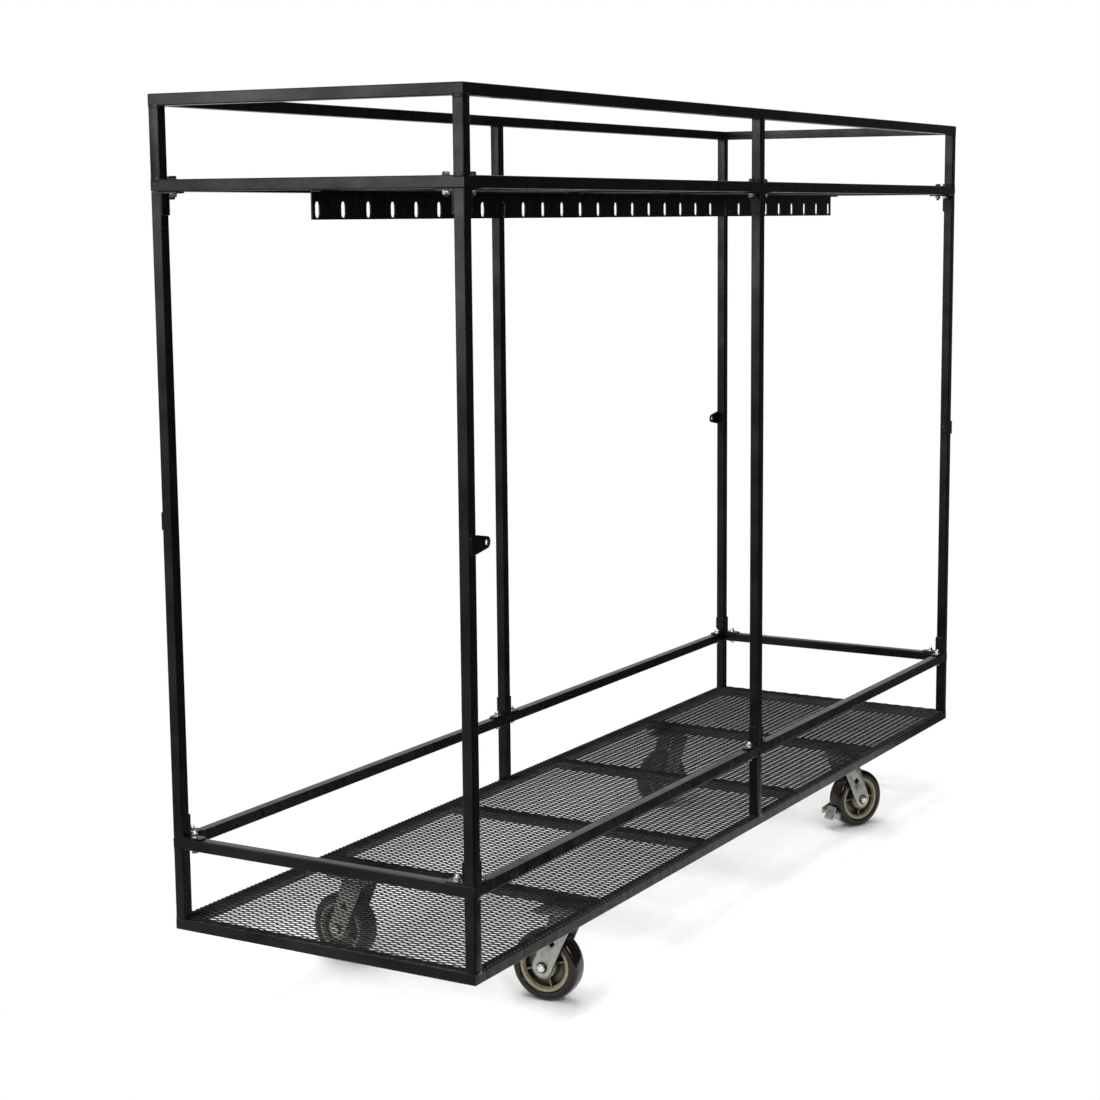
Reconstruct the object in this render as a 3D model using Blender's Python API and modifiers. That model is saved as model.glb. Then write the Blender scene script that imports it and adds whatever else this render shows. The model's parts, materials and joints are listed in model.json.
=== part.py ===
"""Rolling hanging rack: a welded base with a mesh deck and a guard rail, six bolted uprights,
a welded top frame with a slotted hanger rail, and four swivel casters.

X runs along the rack, Y across it and Z up. The origin is on the floor under the rack's middle.
Front is -Y, back is +Y, left is -X and right is +X.
"""

import math

import bmesh
import bpy
from mathutils import Euler, Matrix, Vector

# Square tube, and the gap that stands for two faces that touch.
TUBE = 0.0254
TUBE_WALL = 0.0016
TUBE_CORNER = 0.0025
TOUCH = 0.0003

# Overall sizes of the frame. Each post is the clear height between the rails it joins.
LENGTH = 2.700
WIDTH = 0.775
GUARD_POST = 0.1566
UPRIGHT = 1.3876
TOP_POST = 0.1502

# Cross members, the same number in the base and in the top, evenly spaced between the end rails.
CROSS_MEMBERS = 4

# Deck sheet, set in from the rails' outer faces and notched round the posts.
DECK_THICKNESS = 0.0012
DECK_INSET = 0.004
DECK_NOTCH_GAP = 0.001

# Hanger rail: an angle under the top cross bars, with a row of upright slots.
HANGER_END_GAP = 0.034
HANGER_DEPTH = 0.0590
HANGER_FLANGE = 0.0254
HANGER_THICKNESS = 0.003
SLOTS = 30
SLOT_WIDTH = 0.0150
SLOT_HEIGHT = 0.0346
SLOT_END_MARGIN = 0.0183
SLOT_BOTTOM_WEB = 0.0030

# Brackets welded to the uprights' ends, and the bolts that go through them and the rails.
BRACKET_LEG = 0.048
BRACKET_THICKNESS = 0.0032
BRACKET_CHAMFER = 0.006
BOLT_SETBACK = 0.024
BOLT_HOLE_RADIUS = 0.0044
WELD_SINK = 0.0004

# Eye plates on the outer faces of the corner uprights, at half their height.
EYE_THICKNESS = 0.004
EYE_ROOT_HEIGHT = 0.038
EYE_END_RADIUS = 0.0125
EYE_HOLE_RADIUS = 0.0066
EYE_REACH = 0.034
SHORT_EYE_REACH = 0.015

# Casters.
CASTER_SETBACK = 0.104
CASTER_TRAIL = 0.040
WHEEL_RADIUS = 0.0825
WHEEL_WIDTH = 0.050
TYRE_SHOULDER = 0.006
TYRE_DEPTH = 0.0205
CORE_RIM = 0.012
CORE_RIM_WIDTH = 0.044
CORE_WEB = 0.008
HUB_RADIUS = 0.027
AXLE_RADIUS = 0.006
RUNNING_GAP = 0.0003
SIDE_GAP = 0.0045
LEG_THICKNESS = 0.004
LEG_TOP_WIDTH = 0.060
LEG_TOP_OFFSET = -0.008
LEG_END_RADIUS = 0.024
LEG_WINDOW_RADIUS = 0.010
NUT_RADIUS = 0.0110
NUT_THICKNESS = 0.0085
AXLE_END_SETBACK = 0.001
PLATE_LENGTH = 0.114
PLATE_WIDTH = 0.102
PLATE_THICKNESS = 0.005
RACE_RADIUS = 0.034
RACE_HEIGHT = 0.009
KING_PIN_RADIUS = 0.007
KING_PIN_HEAD_RADIUS = 0.012
KING_PIN_HEAD = 0.005
CROWN_THICKNESS = 0.006
TYRE_TO_CROWN = 0.0344

# Brake pedals of the right-hand casters. The lever turns on the axle, beside the far leg.
LEVER_THICKNESS = 0.0035
LEVER_GAP = 0.0008
LEVER_EYE_RADIUS = 0.013
PEDAL_TO_TYRE = 0.0155
PEDAL_HEIGHT = 0.050
PEDAL_WIDTH = 0.036
PEDAL_LENGTH = 0.038
PEDAL_THICKNESS = 0.004
PEDAL_TILT = math.radians(20)
PEDAL_BAR = 0.008
PEDAL_BLOCK = (0.014, 0.014, 0.018)
PEDAL_BLOCK_DROP = 0.0036

# The direction in which each caster trails, turned from +X, and how far the left-hand plates are
# welded from the middle of their cross member, towards the left end.
CASTER_HEADINGS = {
    "front_left": math.radians(94),
    "back_left": math.radians(86),
    "front_right": math.radians(-26),
    "back_right": math.radians(160),
}
LEFT_PLATE_OFFSET = 0.014
BRAKED = ("front_right", "back_right")

ROUND_STEPS = 20
WHEEL_STEPS = 24
MERGE = 0.000001

# A piece that is joined to another stops this far short of its faces, and a cutter is this many
# times as deep as what it cuts, so that no two faces of a Boolean lie in one plane.
SHY = 0.0002
CUT_DEPTH = 4

# How deep a middle post goes into its rail, as a share of the tube's corner radius.
POST_SINK = 0.8

# Levels that follow from the sizes above.
FRAME_FLOOR = (
    2 * WHEEL_RADIUS + TYRE_TO_CROWN + CROWN_THICKNESS + TOUCH + RACE_HEIGHT + PLATE_THICKNESS + TOUCH
)
GUARD_FLOOR = FRAME_FLOOR + TUBE + GUARD_POST
TOP_FLOOR = GUARD_FLOOR + TUBE + UPRIGHT
CROWN_RAIL_FLOOR = TOP_FLOOR + TUBE + TOP_POST
DECK_FLOOR = FRAME_FLOOR + TUBE + TOUCH
FORK_INNER = WHEEL_WIDTH / 2 + SIDE_GAP
FORK_OUTER = FORK_INNER + LEG_THICKNESS
CROWN_FLOOR = 2 * WHEEL_RADIUS + TYRE_TO_CROWN
CORE_RADIUS = WHEEL_RADIUS - TYRE_DEPTH
PEDAL_AHEAD = WHEEL_RADIUS - CASTER_TRAIL + PEDAL_TO_TYRE

SIDES = {"front": -1, "back": 1}
ENDS = {"left": -1, "right": 1}


def clear_scene():
    for old in list(bpy.data.objects):
        bpy.data.objects.remove(old, do_unlink=True)


def collection(name):
    made = bpy.data.collections.new(name)
    bpy.context.scene.collection.children.link(made)
    return made


def material(name, colour, roughness, metallic):
    made = bpy.data.materials.new(name)
    made.use_nodes = True
    shader = made.node_tree.nodes["Principled BSDF"]
    shader.inputs["Base Color"].default_value = (*colour, 1)
    shader.inputs["Roughness"].default_value = roughness
    shader.inputs["Metallic"].default_value = metallic
    return made


def add_object(name, mesh, finish, place=None):
    """A part of the rack: the mesh as an object, at a place given as a matrix."""
    obj = bpy.data.objects.new(name, mesh)
    obj.matrix_world = place or Matrix()
    mesh.materials.clear()
    mesh.materials.append(finish)
    PARTS.objects.link(obj)
    return obj


def add_tool(name, mesh, place=None):
    """A helper that cuts a part, or is joined to it."""
    obj = bpy.data.objects.new(name, mesh)
    obj.matrix_world = place or Matrix()
    obj.hide_render = True
    obj.display_type = "WIRE"
    TOOLS.objects.link(obj)
    return obj


def combine(obj, operation, tool):
    modifier = obj.modifiers.new(tool.name, "BOOLEAN")
    modifier.operation = operation
    modifier.object = tool


def mesh_from(bm, name):
    bmesh.ops.recalc_face_normals(bm, faces=bm.faces)
    mesh = bpy.data.meshes.new(name)
    bm.to_mesh(mesh)
    bm.free()
    return mesh


def add_block(bm, size, centre, turn=None):
    """Adds a box to a bmesh and returns its vertices."""
    place = Matrix.Translation(centre) @ (turn or Matrix()) @ Matrix.Diagonal((*size, 1))
    return bmesh.ops.create_cube(bm, size=1, matrix=place)["verts"]


def add_cylinder(bm, radius, length, centre, axis="Z", steps=12):
    """Adds a cylinder along Y or Z to a bmesh and returns its vertices."""
    turn = Euler((math.pi / 2 if axis == "Y" else 0, 0, 0))
    place = Matrix.Translation(centre) @ turn.to_matrix().to_4x4()
    return bmesh.ops.create_cone(
        bm, cap_ends=True, segments=steps, radius1=radius, radius2=radius, depth=length, matrix=place
    )["verts"]


def hull_of(bm, verts):
    """Wraps a set of vertices of a bmesh in one convex solid."""
    made = bmesh.ops.convex_hull(bm, input=verts)
    left_over = made["geom_interior"] + made["geom_unused"]
    spare = [item for item in left_over if isinstance(item, bmesh.types.BMVert)]
    bmesh.ops.delete(bm, geom=list(set(spare)), context="VERTS")
    kept = {item for item in made["geom"] if isinstance(item, bmesh.types.BMFace)}
    inner = [face for vert in verts if vert.is_valid for face in vert.link_faces if face not in kept]
    bmesh.ops.delete(bm, geom=list(set(inner)), context="FACES_ONLY")


def bar_mesh(name, length, side, corner, mitred=False):
    """A square bar along X with rounded long edges. A mitred bar is full length on its +Y face."""
    bm = bmesh.new()
    add_block(bm, (length, side, side), (0, 0, 0))
    long_edges = [edge for edge in bm.edges if abs(edge.verts[0].co.x - edge.verts[1].co.x) > length / 2]
    bmesh.ops.bevel(bm, geom=long_edges, offset=corner, segments=2, profile=0.5, affect="EDGES", material=-1)
    if mitred:
        for vert in bm.verts:
            vert.co.x -= math.copysign(side / 2 - vert.co.y, vert.co.x)
    return mesh_from(bm, name)


def tube(name, length, place, mitred=False):
    """A square tube along X, open at both ends, moved to its place."""
    outer = bar_mesh(name, length, TUBE, TUBE_CORNER, mitred)
    obj = add_object(name, outer, PAINT, place)
    bore = bar_mesh(name + "_bore", length + TUBE, TUBE - 2 * TUBE_WALL, TUBE_CORNER - TUBE_WALL)
    combine(obj, "DIFFERENCE", add_tool(name + "_bore", bore, place))
    return obj


def upright_place(x, y, floor, height):
    """Turns a tube that was made along X to stand between two levels."""
    return Matrix.Translation((x, y, floor + height / 2)) @ Matrix.Rotation(-math.pi / 2, 4, "Y")


def corner_points():
    """The tube centres of the four corners, by name."""
    x = LENGTH / 2 - TUBE / 2
    y = WIDTH / 2 - TUBE / 2
    return {f"{side}_{end}": (ENDS[end] * x, SIDES[side] * y) for side in SIDES for end in ENDS}


def middle_points():
    y = WIDTH / 2 - TUBE / 2
    return {f"{side}_middle": (0.0, SIDES[side] * y) for side in SIDES}


def cross_member_positions():
    pitch = (LENGTH - TUBE) / (CROSS_MEMBERS + 1)
    return [-(LENGTH - TUBE) / 2 + pitch * (k + 1) for k in range(CROSS_MEMBERS)]


def rectangle(prefix, floor):
    """Four rails, mitred where they meet."""
    mitre_gap = TOUCH * math.sqrt(2)
    rails = {}
    for side, sign in SIDES.items():
        turn = Matrix.Rotation(0 if sign > 0 else math.pi, 4, "Z")
        place = Matrix.Translation((0, sign * (WIDTH - TUBE) / 2, floor + TUBE / 2)) @ turn
        rails[side] = tube(f"{prefix}_{side}", LENGTH - mitre_gap, place, mitred=True)
    for end, sign in ENDS.items():
        turn = Matrix.Rotation(-sign * math.pi / 2, 4, "Z")
        place = Matrix.Translation((sign * (LENGTH - TUBE) / 2, 0, floor + TUBE / 2)) @ turn
        rails[end] = tube(f"{prefix}_{end}", WIDTH - mitre_gap, place, mitred=True)
    return rails


def hang_middle_post(rail, name, x, y, floor, height):
    """Welds a post under a rail, down to the rail below it."""
    sink = POST_SINK * TUBE_CORNER
    bottom = floor + TOUCH
    post = bar_mesh(name, height - TOUCH + sink, TUBE, TUBE_CORNER)
    combine(rail, "UNION", add_tool(name, post, upright_place(x, y, bottom, height - TOUCH + sink)))
    bore = bar_mesh(name + "_bore", height - TOUCH + TUBE, TUBE - 2 * TUBE_WALL, TUBE_CORNER - TUBE_WALL)
    bore_place = upright_place(x, y, bottom - TUBE, height - TOUCH + TUBE)
    combine(rail, "DIFFERENCE", add_tool(name + "_bore", bore, bore_place))


def corner_posts(prefix, floor, height):
    for corner, (x, y) in corner_points().items():
        place = upright_place(x, y, floor + TOUCH, height - 2 * TOUCH)
        tube(f"{prefix}_{corner}", height - 2 * TOUCH, place)


def cross_members(prefix, floor):
    length = WIDTH - 2 * TUBE - 2 * TOUCH
    for k, x in enumerate(cross_member_positions()):
        place = Matrix.Translation((x, 0, floor + TUBE / 2)) @ Matrix.Rotation(math.pi / 2, 4, "Z")
        tube(f"{prefix}_{k + 1}", length, place)


def bracket_directions(name):
    """The ways in which an upright's brackets point: along the rails that meet there."""
    side, end = name.split("_")
    if end == "middle":
        return [Vector((1, 0)), Vector((-1, 0))]
    return [Vector((-ENDS[end], 0)), Vector((0, -SIDES[side]))]


def bolt_points():
    """Bolt centres in plan, the same in the guard rail and in the top frame's lower rail."""
    reach = TUBE / 2 + BOLT_SETBACK
    stands = {**corner_points(), **middle_points()}
    return [Vector(at) + reach * way for name, at in stands.items() for way in bracket_directions(name)]


def bolt_drill(name, low, high):
    """All the bolt holes of one level, as one cutter."""
    bm = bmesh.new()
    for x, y in bolt_points():
        add_cylinder(bm, BOLT_HOLE_RADIUS, high - low, (x, y, (low + high) / 2), steps=8)
    return add_tool(name, mesh_from(bm, name))


def whole(bm):
    return bm.verts[:] + bm.edges[:] + bm.faces[:]


def bracket_mesh():
    """An angle bracket: one leg up a face at half a tube's width, the other out along +X on the ground."""
    half = TUBE / 2
    front = half + BRACKET_THICKNESS
    tip = half + BRACKET_LEG
    depth = BRACKET_THICKNESS + WELD_SINK
    bm = bmesh.new()
    add_block(bm, (depth, TUBE, BRACKET_LEG), (front - depth / 2, 0, BRACKET_LEG / 2))
    bmesh.ops.bisect_plane(bm, geom=whole(bm), plane_co=(0, 0, BRACKET_THICKNESS), plane_no=(0, 0, 1))
    foot = [
        face
        for face in bm.faces
        if all(vert.co.x > front - MERGE and vert.co.z < BRACKET_THICKNESS + MERGE for vert in face.verts)
    ]
    grown = bmesh.ops.extrude_discrete_faces(bm, faces=foot)["faces"][0]
    bmesh.ops.translate(bm, verts=grown.verts, vec=(tip - front, 0, 0))
    corners = [
        edge
        for edge in bm.edges
        if all(vert.co.x > tip - MERGE for vert in edge.verts)
        and abs(edge.verts[0].co.y - edge.verts[1].co.y) < MERGE
    ]
    bmesh.ops.bevel(
        bm, geom=corners, offset=BRACKET_CHAMFER, segments=1, profile=0.5, affect="EDGES", material=-1
    )
    return mesh_from(bm, "bracket")


def add_copy(bm, mesh, place):
    start = len(bm.verts)
    bm.from_mesh(mesh)
    bm.verts.ensure_lookup_table()
    bmesh.ops.transform(bm, matrix=place, verts=bm.verts[start:])


def add_eye(bm, side_sign, end_sign, level, reach):
    """A flared plate on the upright's outer face, pointing along the rack, with a round end."""
    y = side_sign * (TUBE / 2 - WELD_SINK + (EYE_THICKNESS + WELD_SINK) / 2)
    thickness = EYE_THICKNESS + WELD_SINK
    inward = -end_sign
    root = add_block(bm, (TUBE - 2 * TUBE_CORNER, thickness, EYE_ROOT_HEIGHT), (0, y, level))
    centre = (inward * (TUBE / 2 + reach), y, level)
    end = add_cylinder(bm, EYE_END_RADIUS, thickness, centre, axis="Y", steps=12)
    hull_of(bm, root + end)


def eye_reach(corner):
    return SHORT_EYE_REACH if corner == "back_left" else EYE_REACH


def upright(name, x, y, drills):
    """An upright with the brackets and the eye plate that are welded to it."""
    floor = GUARD_FLOOR + TUBE + TOUCH
    height = UPRIGHT - 2 * TOUCH
    obj = tube(f"upright_{name}", height, upright_place(x, y, floor, height))
    bm = bmesh.new()
    bracket = bracket_mesh()
    lift = TOUCH / 2
    for way in bracket_directions(name):
        turn = Matrix.Rotation(math.atan2(way.y, way.x), 4, "Z")
        add_copy(bm, bracket, Matrix.Translation((0, 0, lift)) @ turn)
        upside_down = Matrix.Translation((0, 0, height - lift)) @ turn @ Matrix.Diagonal((1, 1, -1, 1))
        add_copy(bm, bracket, upside_down)
    side, end = name.split("_")
    if end != "middle":
        add_eye(bm, SIDES[side], ENDS[end], height / 2, eye_reach(name))
    fittings = add_tool(f"upright_{name}_fittings", mesh_from(bm, name), Matrix.Translation((x, y, floor)))
    combine(obj, "UNION", fittings)
    for drill in drills:
        combine(obj, "DIFFERENCE", drill)
    return obj


def eye_drill():
    """The holes of the four eye plates, as one cutter."""
    bm = bmesh.new()
    level = GUARD_FLOOR + TUBE + UPRIGHT / 2
    for corner, (x, y) in corner_points().items():
        side, end = corner.split("_")
        at = x - ENDS[end] * (TUBE / 2 + eye_reach(corner))
        out = y + SIDES[side] * TUBE / 2
        add_cylinder(bm, EYE_HOLE_RADIUS, CUT_DEPTH * EYE_THICKNESS, (at, out, level), axis="Y", steps=12)
    return add_tool("eye_drill", mesh_from(bm, "eye_drill"))


def deck():
    """The deck sheet on the base rails, notched round the posts."""
    bm = bmesh.new()
    size = (LENGTH - 2 * DECK_INSET, WIDTH - 2 * DECK_INSET, DECK_THICKNESS)
    add_block(bm, size, (0, 0, 0))
    place = Matrix.Translation((0, 0, DECK_FLOOR + DECK_THICKNESS / 2))
    obj = add_object("deck_mesh", mesh_from(bm, "deck_mesh"), PAINT, place)
    bm = bmesh.new()
    notch = TUBE + 2 * DECK_NOTCH_GAP
    for x, y in {**corner_points(), **middle_points()}.values():
        add_block(bm, (notch, notch, CUT_DEPTH * DECK_THICKNESS), (x, y, 0))
    combine(obj, "DIFFERENCE", add_tool("deck_notches", mesh_from(bm, "deck_notches"), place))
    return obj


def hanger_rail():
    """The slotted angle: a web that hangs from the cross bars, and a flange on top."""
    length = LENGTH - 2 * HANGER_END_GAP
    top = TOP_FLOOR - TOUCH
    bm = bmesh.new()
    add_block(bm, (length, HANGER_THICKNESS, HANGER_DEPTH), (0, 0, -HANGER_DEPTH / 2))
    bmesh.ops.bisect_plane(bm, geom=whole(bm), plane_co=(0, 0, -HANGER_THICKNESS), plane_no=(0, 0, 1))
    shoulder = [
        face
        for face in bm.faces
        if all(vert.co.y < 0 and vert.co.z > -HANGER_THICKNESS - MERGE for vert in face.verts)
    ]
    grown = bmesh.ops.extrude_discrete_faces(bm, faces=shoulder)["faces"][0]
    bmesh.ops.translate(bm, verts=grown.verts, vec=(0, HANGER_THICKNESS - HANGER_FLANGE, 0))
    place = Matrix.Translation((0, 0, top))
    obj = add_object("hanger_rail", mesh_from(bm, "hanger_rail"), PAINT, place)
    bm = bmesh.new()
    pitch = (length - 2 * SLOT_END_MARGIN) / (SLOTS - 1)
    radius = SLOT_WIDTH / 2
    depth = CUT_DEPTH * HANGER_THICKNESS
    low = -HANGER_DEPTH + SLOT_BOTTOM_WEB + radius
    for k in range(SLOTS):
        x = -length / 2 + SLOT_END_MARGIN + k * pitch
        ends = add_cylinder(bm, radius, depth, (x, 0, low), axis="Y", steps=8)
        ends += add_cylinder(bm, radius, depth, (x, 0, low + SLOT_HEIGHT - SLOT_WIDTH), axis="Y", steps=8)
        hull_of(bm, ends)
    combine(obj, "DIFFERENCE", add_tool("hanger_slots", mesh_from(bm, "hanger_slots"), place))
    return obj


def turned(name, profile, closed):
    """A profile of (radius, height) points, turned round Z. It runs down its outer side."""
    mesh = bpy.data.meshes.new(name)
    points = [(radius, 0, height) for radius, height in profile]
    edges = [(k, k + 1) for k in range(len(points) - 1)]
    if closed:
        edges.append((len(points) - 1, 0))
    mesh.from_pydata(points, edges, [])
    return mesh


def add_screw(obj, steps):
    modifier = obj.modifiers.new("turn", "SCREW")
    modifier.axis = "Z"
    modifier.angle = 2 * math.pi
    modifier.steps = steps
    modifier.render_steps = steps
    modifier.use_merge_vertices = True
    modifier.merge_threshold = MERGE
    modifier.use_smooth_shade = True


def caster_plate(name, place):
    """The top plate, with the upper half of the ball race and the king pin under it."""
    bm = bmesh.new()
    add_block(bm, (PLATE_LENGTH, PLATE_WIDTH, PLATE_THICKNESS), (0, 0, 0))
    top = FRAME_FLOOR - TOUCH
    plate_place = place @ Matrix.Translation((0, 0, top - PLATE_THICKNESS / 2))
    obj = add_object(f"caster_plate_{name}", mesh_from(bm, name), ZINC, plate_place)
    race_floor = CROWN_FLOOR + CROWN_THICKNESS + TOUCH
    pin_low = CROWN_FLOOR - TOUCH - KING_PIN_HEAD
    profile = [
        (0, top - PLATE_THICKNESS / 2),
        (RACE_RADIUS, top - PLATE_THICKNESS / 2),
        (RACE_RADIUS, race_floor),
        (KING_PIN_RADIUS, race_floor),
        (KING_PIN_RADIUS, pin_low + KING_PIN_HEAD),
        (KING_PIN_HEAD_RADIUS, pin_low + KING_PIN_HEAD),
        (KING_PIN_HEAD_RADIUS, pin_low),
        (0, pin_low),
    ]
    race = add_tool(f"caster_race_{name}", turned(name, profile, False), place)
    add_screw(race, ROUND_STEPS)
    combine(obj, "UNION", race)
    return obj


def caster_fork(name, place, braked):
    """The swivelling fork: crown, two legs, and the axle bolt that its legs clamp."""
    bm = bmesh.new()
    crown_front = LEG_TOP_OFFSET - LEG_TOP_WIDTH / 2
    crown_back = LEG_TOP_OFFSET + LEG_TOP_WIDTH / 2
    crown_size = (crown_back - crown_front, 2 * FORK_OUTER, CROWN_THICKNESS)
    add_block(bm, crown_size, ((crown_front + crown_back) / 2, 0, CROWN_FLOOR + CROWN_THICKNESS / 2))
    obj = add_object(f"caster_fork_{name}", mesh_from(bm, name), ZINC, place)

    bm = bmesh.new()
    for sign in (-1, 1):
        y = sign * (FORK_INNER + LEG_THICKNESS / 2)
        thickness = LEG_THICKNESS - SHY
        top_size = (LEG_TOP_WIDTH - SHY, thickness, CROWN_THICKNESS)
        top = add_block(bm, top_size, (LEG_TOP_OFFSET, y, CROWN_FLOOR))
        end_centre = (CASTER_TRAIL, y, WHEEL_RADIUS)
        end = add_cylinder(bm, LEG_END_RADIUS, thickness, end_centre, axis="Y", steps=16)
        hull_of(bm, top + end)
    combine(obj, "UNION", add_tool(f"fork_legs_{name}", mesh_from(bm, name), place))

    bm = bmesh.new()
    near = -FORK_OUTER - NUT_THICKNESS
    far = FORK_OUTER + NUT_THICKNESS + (LEVER_THICKNESS + 2 * LEVER_GAP if braked else 0)
    axle_length = far - near - 2 * AXLE_END_SETBACK
    add_cylinder(bm, AXLE_RADIUS, axle_length, (CASTER_TRAIL, (far + near) / 2, WHEEL_RADIUS), "Y", 16)
    combine(obj, "UNION", add_tool(f"axle_{name}", mesh_from(bm, name), place))
    bm = bmesh.new()
    grip = WELD_SINK / 2
    near_nut = (CASTER_TRAIL, near + (NUT_THICKNESS + grip) / 2, WHEEL_RADIUS)
    add_cylinder(bm, NUT_RADIUS, NUT_THICKNESS + grip, near_nut, "Y", 6)
    far_grip = 0 if braked else grip
    far_nut = (CASTER_TRAIL, far - (NUT_THICKNESS + far_grip) / 2, WHEEL_RADIUS)
    add_cylinder(bm, NUT_RADIUS, NUT_THICKNESS + far_grip, far_nut, "Y", 6)
    combine(obj, "UNION", add_tool(f"axle_nuts_{name}", mesh_from(bm, name), place))

    bm = bmesh.new()
    window_x = (LEG_TOP_OFFSET + CASTER_TRAIL) / 2
    window_z = (CROWN_FLOOR + WHEEL_RADIUS) / 2
    add_cylinder(bm, LEG_WINDOW_RADIUS, CUT_DEPTH * FORK_OUTER, (window_x, 0, window_z), "Y", 4)
    hole = KING_PIN_RADIUS + RUNNING_GAP
    hole_centre = (0, 0, CROWN_FLOOR + CROWN_THICKNESS / 2)
    add_cylinder(bm, hole, CUT_DEPTH * CROWN_THICKNESS, hole_centre, "Z", ROUND_STEPS)
    combine(obj, "DIFFERENCE", add_tool(f"fork_holes_{name}", mesh_from(bm, name), place))
    return obj


def wheel(name, place):
    """The wheel's core and its tyre, both turned round the axle."""
    on_axle = Matrix.Translation((CASTER_TRAIL, 0, WHEEL_RADIUS))
    centre = place @ on_axle @ Matrix.Rotation(-math.pi / 2, 4, "X")
    hub = FORK_INNER - 2 * RUNNING_GAP
    rim = CORE_RIM_WIDTH / 2
    web = CORE_WEB / 2
    bore = AXLE_RADIUS + RUNNING_GAP
    inner = CORE_RADIUS - CORE_RIM
    outline = [
        (CORE_RADIUS, rim), (CORE_RADIUS, -rim), (inner, -rim), (inner, -web), (HUB_RADIUS, -web),
        (HUB_RADIUS, -hub), (bore, -hub), (bore, hub), (HUB_RADIUS, hub), (HUB_RADIUS, web),
        (inner, web), (inner, rim),
    ]
    core = add_object(f"wheel_core_{name}", turned(name, outline, True), CORE, centre)
    add_screw(core, WHEEL_STEPS)
    side = WHEEL_WIDTH / 2
    seat = CORE_RADIUS + TOUCH
    shoulder = WHEEL_RADIUS - TYRE_SHOULDER
    outline = [
        (shoulder, side), (WHEEL_RADIUS, side - TYRE_SHOULDER), (WHEEL_RADIUS, TYRE_SHOULDER - side),
        (shoulder, -side), (seat, -side), (seat, side),
    ]
    tyre = add_object(f"tyre_{name}", turned(name, outline, True), TYRE, centre)
    add_screw(tyre, WHEEL_STEPS)


def brake_pedal(name, place):
    """The brake lever: an arm from the axle, a cross bar ahead of the tyre, a pad and a block."""
    arm_y = FORK_OUTER + LEVER_GAP + LEVER_THICKNESS / 2
    bar_x = -PEDAL_AHEAD + PEDAL_BAR
    bar_z = PEDAL_HEIGHT
    bm = bmesh.new()
    eye = add_cylinder(bm, LEVER_EYE_RADIUS, LEVER_THICKNESS, (CASTER_TRAIL, arm_y, WHEEL_RADIUS), "Y", 16)
    toe_size = (PEDAL_BAR, LEVER_THICKNESS, 2 * PEDAL_BAR)
    toe = add_block(bm, toe_size, (bar_x, arm_y, bar_z))
    hull_of(bm, eye + toe)
    axle_place = place @ Matrix.Translation((CASTER_TRAIL, 0, WHEEL_RADIUS))
    bmesh.ops.translate(bm, verts=bm.verts, vec=(-CASTER_TRAIL, 0, -WHEEL_RADIUS))
    obj = add_object(f"brake_pedal_{name}", mesh_from(bm, name), ZINC, axle_place)

    block_x, block_y, block_z = PEDAL_BLOCK
    bar_start = -PEDAL_WIDTH / 2 - block_y
    bar_end = arm_y
    bar_size = (PEDAL_BAR - 4 * SHY, bar_end - bar_start, PEDAL_BAR)
    bm = bmesh.new()
    add_block(bm, bar_size, (bar_x, (bar_start + bar_end) / 2, bar_z))
    combine(obj, "UNION", add_tool(f"pedal_bar_{name}", mesh_from(bm, name), place))
    bm = bmesh.new()
    turn = Matrix.Rotation(PEDAL_TILT, 4, "Y")
    pedal_size = (PEDAL_THICKNESS, PEDAL_WIDTH, PEDAL_LENGTH)
    add_block(bm, pedal_size, (-PEDAL_AHEAD + PEDAL_BAR / 2, 0, bar_z), turn)
    block_centre = (bar_x, bar_start + block_y / 2 - SHY, bar_z - PEDAL_BLOCK_DROP)
    add_block(bm, (block_x, block_y, block_z), block_centre)
    combine(obj, "UNION", add_tool(f"pedal_pad_{name}", mesh_from(bm, name), place))
    bm = bmesh.new()
    eye_centre = (CASTER_TRAIL, arm_y, WHEEL_RADIUS)
    add_cylinder(bm, AXLE_RADIUS + RUNNING_GAP, CUT_DEPTH * LEVER_THICKNESS, eye_centre, "Y", 16)
    combine(obj, "DIFFERENCE", add_tool(f"lever_bore_{name}", mesh_from(bm, name), place))


def caster(name, x, y):
    """One caster: its plate stays square to the frame and the rest turns to its heading."""
    caster_plate(name, Matrix.Translation((x, y, 0)))
    place = Matrix.Translation((x, y, 0)) @ Matrix.Rotation(CASTER_HEADINGS[name], 4, "Z")
    caster_fork(name, place, name in BRAKED)
    wheel(name, place)
    if name in BRAKED:
        brake_pedal(name, place)


def shade_round_parts():
    for obj in PARTS.objects:
        obj.data.shade_smooth()
        obj.data.set_sharp_from_angle(angle=math.radians(35))


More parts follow.
